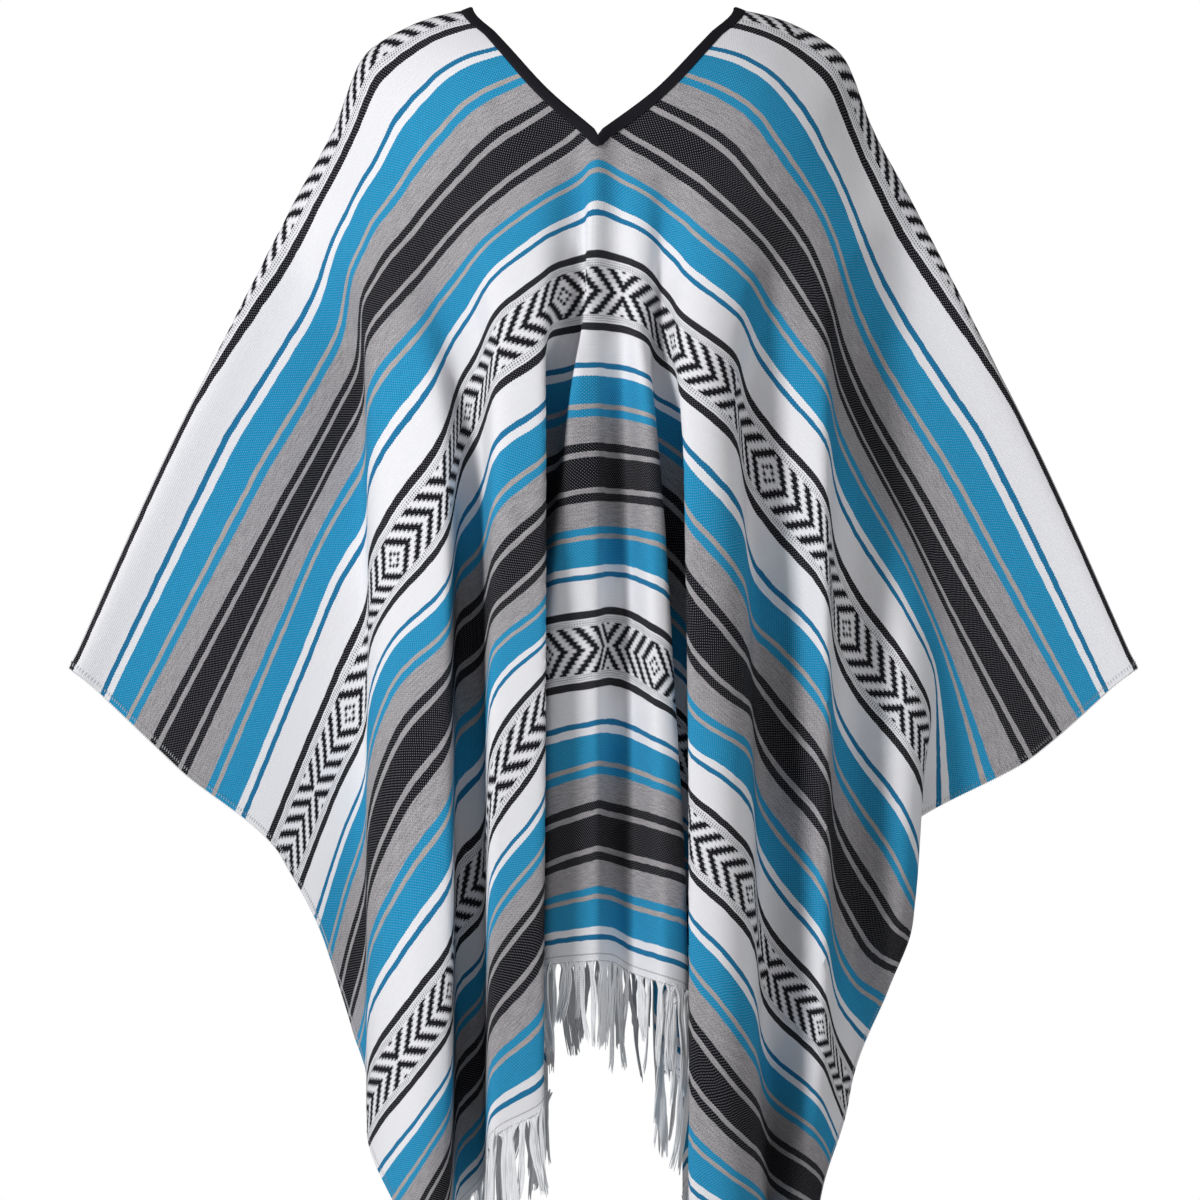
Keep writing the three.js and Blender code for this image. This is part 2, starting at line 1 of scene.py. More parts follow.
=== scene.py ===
"""Mexican poncho, worn shape: one rectangle of striped blanket cloth over the
shoulders, with a bound V neck, overlocked side edges and fringed hems.

The cloth is worked out on its flat rectangle, in millimetres: `across` runs
from the neck's centre to a side edge and `down` from the shoulder line to a
hem, positive at the front. Tables of folds and heights, read through smooth
curves, hang each point of the rectangle in its place, and every other piece
is placed on the hung cloth. +Z is up, the front faces -Y and the wearer's
right is -X.
"""

import math

import bpy
import numpy as np
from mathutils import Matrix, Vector


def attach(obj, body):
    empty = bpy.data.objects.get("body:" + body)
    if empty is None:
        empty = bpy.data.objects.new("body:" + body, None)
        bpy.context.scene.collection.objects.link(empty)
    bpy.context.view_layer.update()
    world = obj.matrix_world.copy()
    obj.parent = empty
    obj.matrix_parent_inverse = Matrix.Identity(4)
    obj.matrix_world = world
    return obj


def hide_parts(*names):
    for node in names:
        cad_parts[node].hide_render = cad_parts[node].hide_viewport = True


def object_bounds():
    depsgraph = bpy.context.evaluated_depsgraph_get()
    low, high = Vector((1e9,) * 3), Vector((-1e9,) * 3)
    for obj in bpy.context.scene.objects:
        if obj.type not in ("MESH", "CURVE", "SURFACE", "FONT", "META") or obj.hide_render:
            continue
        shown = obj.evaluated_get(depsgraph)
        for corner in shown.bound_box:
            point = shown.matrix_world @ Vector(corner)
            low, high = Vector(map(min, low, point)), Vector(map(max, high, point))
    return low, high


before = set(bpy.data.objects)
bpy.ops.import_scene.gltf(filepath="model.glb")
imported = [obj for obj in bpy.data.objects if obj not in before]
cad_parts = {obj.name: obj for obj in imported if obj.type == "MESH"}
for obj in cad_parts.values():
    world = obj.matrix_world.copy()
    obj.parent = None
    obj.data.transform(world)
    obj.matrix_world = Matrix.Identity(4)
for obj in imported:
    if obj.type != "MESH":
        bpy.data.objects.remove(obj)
cad_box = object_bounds()

MM = 0.001
RIGHT, LEFT = 0, 1  # the wearer's halves, as array index
SIDES = (-1, 1)  # the sign of X on each half
FRONT, BACK = 1, -1  # the sign of `down`

# ---- the flat cloth (mm) --------------------------------------------------
BAND = 336.0  # one repeat of the stripes
HALF_LENGTH = 2.853 * BAND
HALF_WIDTH = 812.0
MOTIFS = 4.3  # repeats of the woven figure from the centre to a side
MOTIF = HALF_WIDTH / MOTIFS
NECK_HALF = 68.0  # half of the neck cut's width at the shoulder line
NECK_DEPTH = 200.0  # from the shoulder line to a V point
WALL = 1.8  # thickness
FRINGE = 110.0
HEM_LEVEL = HALF_LENGTH / BAND
FRINGE_LEVEL = (HALF_LENGTH + FRINGE) / BAND

# From a band's centre outwards: yarn, width, share of the light warp that
# shows, and how mottled the yarn is.
STRIPES = [
    ("figure", 29.0, 0.10, 0.1),
    ("black", 7.4, 0.28, 0.2),
    ("white", 29.6, 0.10, 0.1),
    ("deep_blue", 5.2, 0.15, 0.2),
    ("white", 7.2, 0.10, 0.1),
    ("blue", 25.5, 0.22, 0.3),
    ("tan", 5.0, 0.25, 0.6),
    ("blue", 7.0, 0.22, 0.3),
    ("grey", 24.5, 0.30, 1.0),
    ("black", 7.4, 0.28, 0.2),
    ("grey", 5.7, 0.30, 0.8),
    ("black", 14.6, 0.28, 0.2),
]
# Linear colours.
YARN = {
    "figure": (0.74, 0.74, 0.77),
    "white": (0.75, 0.75, 0.78),
    "black": (0.006, 0.006, 0.009),
    "blue": (0.010, 0.245, 0.455),
    "deep_blue": (0.006, 0.155, 0.320),
    "tan": (0.36, 0.33, 0.32),
    "grey": (0.30, 0.288, 0.30),
    "tape": (0.009, 0.009, 0.012),
    "thread": (0.62, 0.63, 0.65),
    "fringe": (0.86, 0.87, 0.89),
}

# ---- the weave (mm) -------------------------------------------------------
WARP_PITCH, WEFT_PITCH = 1.4, 1.5
WARP_DOT = (0.5, 0.9)  # heights of the weave where the light warp's dot starts and is full
# painted shade in the weave's hollows, and painted light on its threads' tops
WEAVE_HOLLOW_SHADE, WEAVE_TOP_LIGHT = 0.88, 0.14  # brightness of its hollows, and what the threads add
DRIFT_SCALE, THREAD_DRIFT = 0.05, 3.0  # how far the threads wander
SWAY_SCALE, STRIPE_SWAY, STRIPE_TOOTH = 0.06, 2.2, 0.35  # how uneven the stripes' edges are
FLECK_SCALE, FLECK = 0.75, 1.6  # short flecks of the mottled yarn
SLUB_SCALE, SLUB, SLUB_STRETCH = 0.55, 0.8, 0.12  # its long flecks, drawn out across the cloth
FIGURE_HALF = 22.0  # half of the woven figure's height
FIGURE_ROW = 3.6  # the height of one step of its slanting lines
FIGURE_LINES, FIGURE_INK = 10, 0.52  # lines in a MOTIF, and the black share of each
FIGURE_HEART = 1.6  # a diamond's white middle, in FIGURE_ROWs
FIGURE_SHIFT = 0.33  # from the centre line to the first diamond on the right, in MOTIFs
FIGURE_PICK, FIGURE_FEATHER = 1.2, 3.2  # height and length of its single picks
DOTTED_PITCH, DOTTED_LINE = 2.2, 0.96  # the dotted lines beside it, and their width
DOTTED_FROM, DOTTED_INK = 0.6, 0.75  # how far from it they start, and how black they are
INSIDE_SWAP = 0.9  # how fully black and white change places on the inside of the cloth
HEM_LINE, HEM_HOLE = 5.0, 1.1  # the drawn-thread line from the hem, and its width
# painted shade seen through the holes of the drawn-thread line
HEM_HOLE_SHADE = 0.75  # how dark its holes are

# ---- tape, stitches and fringe (mm) ---------------------------------------
TAPE_WIDTH, TAPE_WALL = 9.5, 1.1
TAPE_FOLD = 1.5  # how far the tape's fold stands off the cut edge
TAPE_SEAM, TAPE_STITCH, TAPE_THREAD = 1.6, 3.0, 0.7  # its seam from the tape's edge, pitch, thread
TAPE_RIBS = (0.9, 0.8)  # pitch along and over the tape
TAPE_ROUND = 2.6  # the last of the edge, where the tape turns round a V point
STITCH_PITCH, STITCH_BITE, STITCH_PAST = 3.0, 6.5, 0.9  # overlock, into and past the edge
STITCH_RADIUS, STITCH_LIFT = 0.42, 0.35  # its thread, and how far that lies off the cloth
STRAND_POINTS, STRAND_SIDES = 15, 4
STRAND_PITCH = 0.85  # of the strands that a tassel is made of
STRAND_RADII = [0.7, 0.75, 0.6, 0.3]  # at the root, below it, near the tip and at the tip
STRAND_SWAY = (0.4, 0.5)  # each strand's own wave, sideways and off the cloth
FRINGE_ROOT = 1.5  # the strands start this far above the hem
FRINGE_FROM, FRINGE_TO = 6, 16  # the outermost tassels from the side edges
# painted shade in a yarn's grooves, painted light on its plies, and each strand's own tone
YARN_GROOVE_SHADE, YARN_PLY_LIGHT, YARN_TONE = 0.86, 0.35, 0.1  # brightness of a groove, and what is added
# Fringe tassels: least and most of what is drawn for each.
BROAD_SHARE, BROAD, NARROW = 0.22, (11, 20), (4.5, 9)
TASSEL_LENGTH = (0.5, 1.0)  # in FRINGEs
TASSEL_WIDTHS, TASSEL_TIP = [1.5, 0.45, 0.8], (0.4, 0.9)  # in its width, from the hem down
TASSEL_LEAN, TASSEL_SWING, TASSEL_TWIST = (-12, 12), (-6, 6), (-0.8, 0.8)
TASSEL_WAVE = (2.2, 2.0)  # sideways and off the cloth
TASSEL_GAP = (3, 15)
ANY_PHASE = (0, 6.3)  # of a wave

# ---- the drape's tables (mm) ----------------------------------------------
# The top of the hanging cloth, from the neck over the arm to the hand: x, z.
RIDGE = [
    [122, 0], [159, -8], [194, -23], [222, -43], [236, -74],
    [244, -98], [288, -182], [348, -299], [408, -420], [493, -610],
]
ARM_FROM = 5  # the row of RIDGE where the arm begins to reach forward
HAND_FORWARD = -60.0
LEAN, LEAN_FROM, LEAN_TO = 26.0, 330.0, 540.0  # over the arm the ridge lies this far to the front
TURN, TURN_FULL = 46.0, 0.9  # length and fullness of the round over the shoulder
SHOULDER_EASE = 1.7  # above 1, the folds deepen fastest just below the shoulder
NECK_DROP = 118.0  # the V points below the shoulders
# The neck cut's edge: share of the way to a V point, x, z.
NECK_EDGE = [[0, *RIDGE[0]], [0.33, 90, -35], [0.66, 51, -77], [1, 0, -NECK_DROP]]
NECK_BLEND = 2.5 * NECK_HALF  # how far beside the cut the cloth follows its edge
# The centre line: down, z.
CENTRE = [
    [0, 0], [NECK_DEPTH, -NECK_DROP], [BAND, -263],
    [2 * BAND, -592], [HALF_LENGTH, -876], [HALF_LENGTH + FRINGE, -876 - FRINGE],
]
# Folds of each half's front: (across in MOTIFs, x, y) at each of FOLD_LEVELS.
# The back follows them, narrower and mirrored in y.
FOLD_LEVELS = [0.5, 1, 1.3, 2, HEM_LEVEL]
CENTRE_FOLD = [(0, -5, -110), (0, -5, -136), (0, -4, -145), (0, -5, -165), (0, -5, -170)]
RIGHT_FOLDS = [
    CENTRE_FOLD,
    # centre edge
    [(0.06, -14, -106), (0.08, -17, -140), (0.12, -31, -156), (0.3, -48, -168), (0.5, -50, -172)],
    # tuck
    [(0.1, -20, -107), (0.15, -13, -122), (0.2, -31, -130), (0.48, -60, -140), (0.72, -62, -148)],
    # first hollow
    [(0.15, -28, -108), (0.21, -20, -116), (0.31, -40, -104), (0.66, -66, -108), (1, -68, -94)],
    [(0.2, -36, -109), (0.28, -30, -121), (0.45, -69, -98), (0.8, -92, -108), (1.14, -94, -94)],
    # pleat wall
    [(0.28, -52, -110), (0.37, -42, -141), (0.58, -77, -142), (1.03, -86, -150), (1.45, -90, -150)],
    # pleat crest
    [(0.42, -80, -112), (0.54, -56, -160), (0.76, -51, -176), (1.38, -52, -202), (2.02, -54, -206)],
    # pleat outer
    [(0.7, -122, -112), (0.83, -97, -166), (1.15, -99, -184), (1.9, -103, -208), (2.55, -103, -213)],
    # deep hollow
    [(0.95, -152, -106), (1.15, -112, -120), (1.5, -112, -114), (2.5, -110, -110), (3, -110, -114)],
    [(1.15, -172, -102), (1.45, -132, -114), (1.78, -135, -110), (2.7, -137, -108), (3.2, -135, -112)],
    # side crest
    [(1.35, -194, -102), (1.83, -144, -158), (2.27, -142, -170), (3.3, -139, -182), (3.8, -142, -174)],
    # side face
    [(1.52, -208, -98), (2.38, -196, -150), (2.72, -192, -160), (3.6, -165, -186), (4.2, -160, -196)],
    # side outer
    [(1.68, -220, -84), (2.78, -216, -112), (3.22, -217, -118), (4.25, -217, -120), (5, -190, -215)],
    # side wall
    [(2.02, -221, -34), (3.08, -216, -52), (3.5, -218, -56), (4.5, -217, -66), (5.2, -196, -150)],
    # under arm
    [(2.3, -240, -30), (3.4, -240, -44), (3.85, -236, -44), (4.8, -224, -56), (5.5, -200, -100)],
    # cuff
    [(4.35, -398, -46), (4.4, -300, -35), (4.9, -280, -36), (5.6, -230, -40), (6.3, -230, -60)],
]
LEFT_FOLDS = [
    CENTRE_FOLD,
    # centre dip
    [(0.06, 6, -104), (0.08, 6, -122), (0.1, 4, -130), (0.17, 3, -142), (0.15, 7, -152)],
    [(0.12, 16, -104), (0.18, 20, -118), (0.22, 20, -122), (0.32, 20, -128), (0.4, 24, -136)],
    # centre bulge
    [(0.18, 28, -106), (0.25, 28, -134), (0.38, 37, -156), (0.67, 47, -184), (0.75, 55, -188)],
    # centre edge
    [(0.22, 37, -107), (0.31, 36, -130), (0.5, 48, -149), (0.93, 66, -174), (1.1, 78, -177)],
    # tuck
    [(0.27, 48, -108), (0.37, 42, -126), (0.6, 46, -126), (1.08, 50, -150), (1.3, 58, -156)],
    # deep hollow
    [(0.31, 56, -108), (0.44, 46, -113), (0.72, 44, -108), (1.37, 45, -115), (1.72, 50, -110)],
    [(0.36, 66, -109), (0.52, 52, -110), (0.86, 68, -108), (1.53, 76, -113), (1.87, 84, -108)],
    # pleat wall
    [(0.44, 82, -110), (0.61, 62, -126), (1, 88, -144), (1.88, 90, -170), (2.4, 104, -182)],
    # pleat crest
    [(0.55, 100, -112), (0.74, 68, -154), (1.15, 72, -184), (2.14, 77, -210), (2.7, 76, -228)],
    # pleat face
    [(0.75, 126, -112), (0.95, 95, -168), (1.4, 102, -188), (2.42, 108, -216), (3, 110, -232)],
    # pleat outer
    [(0.95, 149, -110), (1.15, 120, -154), (1.65, 130, -164), (2.72, 138, -182), (3.35, 144, -190)],
    # step
    [(1.15, 170, -103), (1.42, 128, -106), (1.9, 136, -108), (3.05, 143, -122), (3.5, 149, -112)],
    [(1.35, 188, -100), (1.67, 152, -110), (2.15, 158, -112), (3.25, 158, -120), (3.75, 156, -122)],
    # side crest
    [(1.62, 208, -96), (2.17, 206, -142), (2.62, 207, -148), (3.67, 201, -160), (4.02, 172, -148)],
    # side step
    [(1.84, 216, -62), (2.48, 212, -94), (2.95, 212, -96), (4.05, 214, -110), (4.3, 190, -114)],
    [(2.08, 230, -42), (2.75, 230, -76), (3.2, 230, -78), (4.3, 226, -90), (4.6, 190, -170)],
    # side edge
    [(2.8, 283, -50), (3.2, 280, -96), (3.7, 274, -96), (4.8, 245, -80), (5.4, 200, -180)],
    # behind edge
    [(3.3, 320, -52), (3.5, 298, -76), (4.1, 288, -74), (5.2, 255, -70), (5.8, 210, -190)],
    # cuff
    [(4.35, 402, -46), (4.4, 264, -36), (4.95, 262, -44), (6, 260, -60), (6.4, 220, -200)],
]
FOLDS = (RIGHT_FOLDS, LEFT_FOLDS)
# Heights of the front between the centre line and the side edge: side and level in
# BANDs, then (across in MOTIFs, z).
HEIGHT_LEVELS = [0.5, 1, 1.5, 2, 2.5, HEM_LEVEL]
SECTIONS = {
    (-1, 0.5): [
        (0.5, -152), (0.95, -202), (1.3, -244), (1.63, -282), (2.15, -363), (2.87, -474),
        (3.4, -557),
    ],
    (1, 0.5): [
        (0.48, -147), (0.91, -193), (1.27, -239), (1.65, -299), (2.06, -363), (2.43, -419),
        (3.04, -511),
    ],
    (-1, 1): [
        (0.05, -263), (0.33, -268), (0.83, -315), (1.33, -374), (1.83, -443), (2.33, -511),
        (2.83, -570), (3.33, -653), (3.83, -724),
    ],
    (1, 1): [
        (0.17, -266), (0.67, -310), (1.17, -362), (1.67, -431), (2.17, -502), (2.67, -574),
        (3.17, -644),
    ],
    (-1, 1.5): [(0.18, -435), (0.92, -483), (1.37, -538), (2.56, -639), (3.54, -796)],
    (1, 1.5): [
        (0.62, -437), (1.41, -547), (1.93, -621), (2.2, -637), (2.65, -695), (3.18, -765),
        (3.6, -822), (3.95, -864),
    ],
    (-1, 2): [(0.3, -598), (1.35, -639), (1.9, -727), (3.3, -902), (3.83, -970)],
    (1, 2): [(0.17, -589), (0.67, -608), (2.17, -760), (2.67, -817), (3.17, -887), (3.67, -940)],
    (-1, 2.5): [(0.42, -773), (1.72, -823), (2.31, -902)],
    (1, 2.5): [(1.03, -782), (2.46, -938), (3.06, -1026)],
    (-1, HEM_LEVEL): [(0.5, -880), (2, -1007), (2.55, -1040), (3.15, -1099)],
    (1, HEM_LEVEL): [(0.15, -877), (0.35, -885), (1.1, -908), (2.7, -1102)],
}
# Heights of each side edge below the hand: side, then (level in BANDs, z).
SIDE_EDGES = {
    -1: [
        (0.204, -645), (0.429, -689), (0.69, -732), (0.903, -776), (1, -790), (1.1, -816),
        (1.27, -858), (1.45, -908), (1.67, -961), (1.9, -1005), (2.1, -1049), (2.33, -1099),
        (HEM_LEVEL, -1246),
    ],
    1: [
        (0.204, -644), (0.429, -680), (0.69, -721), (0.89, -760), (1, -777), (1.2, -810),
        (1.42, -850), (1.69, -933), (1.9, -983), (2.1, -1027), (2.24, -1043), (2.47, -1090),
        (HEM_LEVEL, -1206),
    ],
}
BACK_NARROW, BACK_DEPTH = 0.95, 0.9  # the back against the front

# ---- the grid's steps -----------------------------------------------------
SIDE_STEPS = 76  # from the centre to a side
NECK_STEPS, BODY_STEPS, FRINGE_STEPS = 32, 118, 8  # from the shoulder line down
CENTRE_CLOSER = 0.5  # how much closer the columns lie by the centre's small folds
EVEN_ROUNDS, EVEN_DOWN, EVEN_ACROSS = 2, 0.5, 0.4  # rounds of evening, and its strengths
KNOT_GAP = 0.001  # mm, the least distance between the knots of neighbouring folds
SHARP_ANGLE = math.radians(62)  # a bend that is shaded as an edge

# ---- floor, light and camera (m) ------------------------------------------
FLOOR_HALF, FLOOR_GAP = 6.0, 0.03  # half its side, and how far it lies below the fringe
SKY = 0.20  # strength of the light from all round
AIM = (0, 0, -0.6)
VIEW_WIDTH = 1.104  # across the picture at the garment
VIEW_CENTRE = (-0.003, -0.5475)  # x, z
VIEW_FROM, VIEW_PLANE = 20.0, -0.13  # the camera's distance from the plane of the front folds


# ---- the grid -------------------------------------------------------------
def steps(start, end, count):
    """The ends of `count` equal steps from start to end."""
    return start + (end - start) * np.arange(1, count + 1) / count


def notch(down):
    """How far from the centre line the neck cut is."""
    return NECK_HALF * np.clip(1 - np.abs(down) / NECK_DEPTH, 0, None)


def on_cloth(down, share):
    """Flat distance from the centre line at a share of the way to the side."""
    return notch(down) + (HALF_WIDTH - notch(down)) * share


front_rows = np.concatenate([
    steps(0, NECK_DEPTH, NECK_STEPS),
    steps(NECK_DEPTH, HALF_LENGTH, BODY_STEPS),
    steps(HALF_LENGTH, HALF_LENGTH + FRINGE, FRINGE_STEPS),
])
ROWS = np.concatenate([-front_rows[::-1], [0], front_rows])  # each row's distance down
SHARES = np.linspace(0, 1, SIDE_STEPS + 1)  # each column's share of the way to the side
SHARES *= 1 - CENTRE_CLOSER * (1 - SHARES)
BODY = slice(FRINGE_STEPS, len(ROWS) - FRINGE_STEPS)  # rows from hem to hem
JOINED = np.abs(ROWS) >= NECK_DEPTH  # rows where the two halves meet
NECK_ROWS = np.abs(ROWS) <= NECK_DEPTH  # rows that end on the neck's edge


# ---- smooth curves --------------------------------------------------------
def hermite(t, start, slope_out, end, slope_in):
    """The cubic from start to end as t goes from 0 to 1, with a slope at each."""
    return (
        (2 * t**3 - 3 * t**2 + 1) * start
        + (t**3 - 2 * t**2 + t) * slope_out
        + (3 * t**2 - 2 * t**3) * end
        + (t**3 - t**2) * slope_in
    )


def curves(q, x, y):
    """Smooth curves through (x, y) that never overshoot them, read at q.

    x and y have a column of knots for each q.
    """
    h = np.maximum(np.diff(x, axis=0), 1e-9)
    d = np.diff(y, axis=0) / h
    slope = np.zeros_like(y)
    slope[0], slope[-1] = d[0], d[-1]
    w1, w2 = 2 * h[1:] + h[:-1], h[1:] + 2 * h[:-1]
    same_way = d[:-1] * d[1:] > 0
    safe = np.where(same_way, w1 * d[1:] + w2 * d[:-1], 1)
    slope[1:-1] = np.where(same_way, (w1 + w2) * d[:-1] * d[1:] / safe, 0)
    q = np.clip(q, x[0], x[-1])
    k = np.clip((q >= x).sum(0) - 1, 0, len(x) - 2)[None]
    x0, y0, y1, h, m0, m1 = (
        np.take_along_axis(table, row, 0)[0]
        for table, row in ((x, k), (y, k), (y, k + 1), (h, k), (slope, k), (slope, k + 1))
    )
    return hermite((q - x0) / h, y0, h * m0, y1, h * m1)


def curve(q, x, y):
    """One such curve, read at any number of q."""
    q = np.asarray(q, float)
    x, y = (np.repeat(np.array(knots, float)[:, None], q.size, 1) for knots in (x, y))
    return curves(q.ravel(), x, y).reshape(q.shape)


def columns(table):
    return [list(c) for c in zip(*table)]


# ---- the drape ------------------------------------------------------------
def ridge_line():
    """RIDGE in space, with the arms' reach forward, and the run to each point."""
    flat = np.array(RIDGE, float)
    from_arm = np.hypot(*(flat - flat[ARM_FROM]).T)
    from_arm[:ARM_FROM] = 0
    forward = HAND_FORWARD * from_arm / from_arm[-1]
    points = np.stack([flat[:, 0], forward, flat[:, 1]], 1)
    lengths = np.linalg.norm(np.diff(points, axis=0), axis=1)
    return points, np.concatenate([[0], np.cumsum(lengths)])


RIDGE_POINTS, RIDGE_RUN = ridge_line()


def ridge(across, side):
    """The point of the shoulder line at that flat distance from the centre."""
    share = np.clip((np.asarray(across, float) - NECK_HALF) / (HALF_WIDTH - NECK_HALF), 0, 1)
    p = np.stack([curve(share * RIDGE_RUN[-1], RIDGE_RUN, c) for c in RIDGE_POINTS.T], -1)
    p[..., 0] *= side
    return p


def edge_z(side, down):
    """Height of the side edge at that distance down."""
    levels, heights = columns(SIDE_EDGES[side])
    levels = np.array([0, *levels, FRINGE_LEVEL])
    return curve(down, levels * BAND, [RIDGE[-1][1], *heights, heights[-1] - FRINGE])


def height(side, across, down):
    """Height of points of a face, `down` without its sign."""
    run, heights = [0], [ridge(across, side)[..., 2]]
    for level in (*HEIGHT_LEVELS, FRINGE_LEVEL):
        at = level * BAND
        knots = [[0, curve(at, *columns(CENTRE))], [HALF_WIDTH, edge_z(side, at)]]
        drop = FRINGE if level > HEM_LEVEL else 0
        knots += [[a * MOTIF, z - drop] for a, z in SECTIONS[side, min(level, HEM_LEVEL)]]
        run.append(at)
        heights.append(curve(across, *columns(sorted(knots))))
    run = np.repeat(np.array(run)[:, None], len(across), 1)
    return curves(down, run, np.stack(heights))


def fold_xy(half, face, across, down):
    """x and y of points of a face, from the half's folds."""
    level = down / BAND
    run = [0, *FOLD_LEVELS, FRINGE_LEVEL]
    at, xs, ys = [], [], []
    for fold in FOLDS[half]:
        a, x, y = ([*c, c[-1]] for c in zip(*fold))  # the fringe hangs as the hem does
        if face == BACK:
            y = [-BACK_DEPTH * v for v in y]
            x = [v * (1 + (BACK_NARROW - 1) * min(q, 1)) for v, q in zip(x, run[1:])]
        start = a[0] * MOTIF
        top = ridge(max(start, NECK_HALF), SIDES[half])
        top[0] *= min(start / NECK_HALF, 1)
        at.append(curve(level, run, [a[0], *a]) * MOTIF)
        xs.append(curve(level, run, [top[0], *x]))
        eased = 1 - (1 - np.minimum(level / run[1], 1)) ** SHOULDER_EASE
        near = top[1] + (y[0] - top[1]) * eased
        ys.append(np.where(level <= run[1], near, curve(level, run[1:], y)))
    at = np.stack(at) + np.arange(len(at))[:, None] * KNOT_GAP
    at = np.maximum.accumulate(at, axis=0)
    return curves(across, at, np.stack(xs)), curves(across, at, np.stack(ys))


def hung(half, face, across, down):
    """Points of a face below the shoulder line, `down` without its sign."""
    side = SIDES[half]
    x, y = fold_xy(half, face, across, down)
    z = height(side, across, down)
    # by the neck the cloth follows the cut edge, whose V point lies on the centre's fold
    beside = notch(down)
    share = np.minimum(down / NECK_DEPTH, 1)
    shares, edge_x, edge_height = columns(NECK_EDGE)
    centre_x = fold_xy(half, face, np.zeros_like(down), np.full_like(down, NECK_DEPTH))[0]
    cut_x = curve(share, shares, edge_x) * side + centre_x * share**3
    cut_z = curve(share, shares, edge_height)
    fade = np.clip((across - beside) / NECK_BLEND, 0, 1)
    fade = np.where(down < NECK_DEPTH, 1 - fade * fade * (3 - 2 * fade), 0)
    x += (cut_x - fold_xy(half, face, beside, down)[0]) * fade
    z += (cut_z - height(side, beside, down)) * fade
    return np.stack([x, y, z], -1)


def over_shoulder(half, face, across, down):
    """Points of the round that the cloth makes over the shoulder and the arm."""
    step = 4.0
    foot, above, below = (
        hung(half, face, across, np.full_like(across, at)) for at in (TURN, TURN - step, TURN + step)
    )
    level_out = TURN * TURN_FULL * np.array([0, -face, 0])
    way = (below - above) / (2 * step)
    return hermite((down / TURN)[:, None], ridge(across, SIDES[half]), level_out, foot, TURN * way)


def draped():
    """Every grid point where the tables put it: half, column, row, xyz."""
    grid = np.empty((2, len(SHARES), len(ROWS), 3))
    across = on_cloth(ROWS[None], SHARES[:, None]).ravel()
    u = np.broadcast_to(ROWS, (len(SHARES), len(ROWS))).ravel()
    # the top of the hanging cloth leans to the front over the arm
    lean = LEAN * np.clip((across - LEAN_FROM) / (LEAN_TO - LEAN_FROM), 0, 1)
    from_ridge = np.abs(u - lean) * BAND / np.where(u > lean, BAND - lean, BAND + lean)
    down = np.where(np.abs(u) < BAND, from_ridge, np.abs(u))
    for half in (RIGHT, LEFT):
        points = np.empty((len(u), 3))
        for face in (FRONT, BACK):
            on = (u >= lean) == (face == FRONT)
            for place, part in ((hung, on & (down >= TURN)), (over_shoulder, on & (down < TURN))):
                points[part] = place(half, face, across[part], down[part])
        grid[half] = points.reshape(grid.shape[1:])
    grid[:, 0, JOINED] = grid[:, 0, JOINED].mean(0)
    return grid


def evened(grid):
    """The grid with small bends evened out; the neck's and the side edges stay."""
    for _ in range(EVEN_ROUNDS):
        move = np.zeros_like(grid)
        inner = grid[:, :-1]
        move[:, :-1, 1:-1] += EVEN_DOWN * ((inner[:, :, 2:] + inner[:, :, :-2]) / 2 - inner[:, :, 1:-1])
        move[:, 1:-1] += EVEN_ACROSS * ((grid[:, 2:] + grid[:, :-2]) / 2 - grid[:, 1:-1])
        middle = (grid[RIGHT, 1] + grid[LEFT, 1]) / 2 - grid[RIGHT, 0]
        move[:, 0, JOINED] += EVEN_ACROSS * middle[JOINED]
        move[:, 0, JOINED] = move[:, 0, JOINED].mean(0)
        move[:, 0, NECK_ROWS] = 0
        grid = grid + move
    return grid


def outward(grid):
    """Unit normals that point away from the wearer."""
    along = np.gradient(grid, axis=2)
    over = np.gradient(grid, axis=1)
    over[RIGHT] *= -1
    over[:, 0, JOINED] = ((grid[LEFT, 1] - grid[RIGHT, 1]) / 2)[JOINED]
    n = np.cross(along, over)
    n[:, 0, JOINED] = n[:, 0, JOINED].sum(0)
    return n / np.linalg.norm(n, axis=-1, keepdims=True)


pos = evened(draped())
normals = outward(pos)


def sample(half, across, down):
    """Position, outward normal and direction towards the side at flat points.

    A point past the cloth's edge lies straight on from the last two columns.
    """
    j = np.clip(np.searchsorted(ROWS, down, side="right") - 1, 0, len(ROWS) - 2)
    v = ((down - ROWS[j]) / (ROWS[j + 1] - ROWS[j]))[..., None]
    share = (across - notch(down)) / (HALF_WIDTH - notch(down))
    i = np.clip(np.searchsorted(SHARES, share, side="right") - 1, 0, len(SHARES) - 2)
    w = ((share - SHARES[i]) / (SHARES[i + 1] - SHARES[i]))[..., None]

    def blend(grid, column):
        return grid[half, column, j] * (1 - v) + grid[half, column, j + 1] * v

    near, far, n = blend(pos, i), blend(pos, i + 1), blend(normals, i)
    return (
        near + (far - near) * w,
        n / np.linalg.norm(n, axis=-1, keepdims=True),
        (far - near) / np.linalg.norm(far - near, axis=-1, keepdims=True),
    )


# ---- meshes ---------------------------------------------------------------
def make_object(name, points, faces, material, attributes):
    """A mesh in metres from points in mm and lists of face corners."""
    mesh = bpy.data.meshes.new(name)
    mesh.from_pydata((np.asarray(points) * MM).tolist(), [], faces)
    for label, values in attributes:
        layer = mesh.attributes.new(label, "FLOAT", "POINT")
        layer.data.foreach_set("value", np.asarray(values, np.float32))
    mesh.materials.append(material)
    mesh.shade_smooth()
    mesh.set_sharp_from_angle(angle=SHARP_ANGLE)
    mesh.validate()
    obj = bpy.data.objects.new(name, mesh)
    bpy.context.scene.collection.objects.link(obj)
    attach(obj, "root")
    return obj


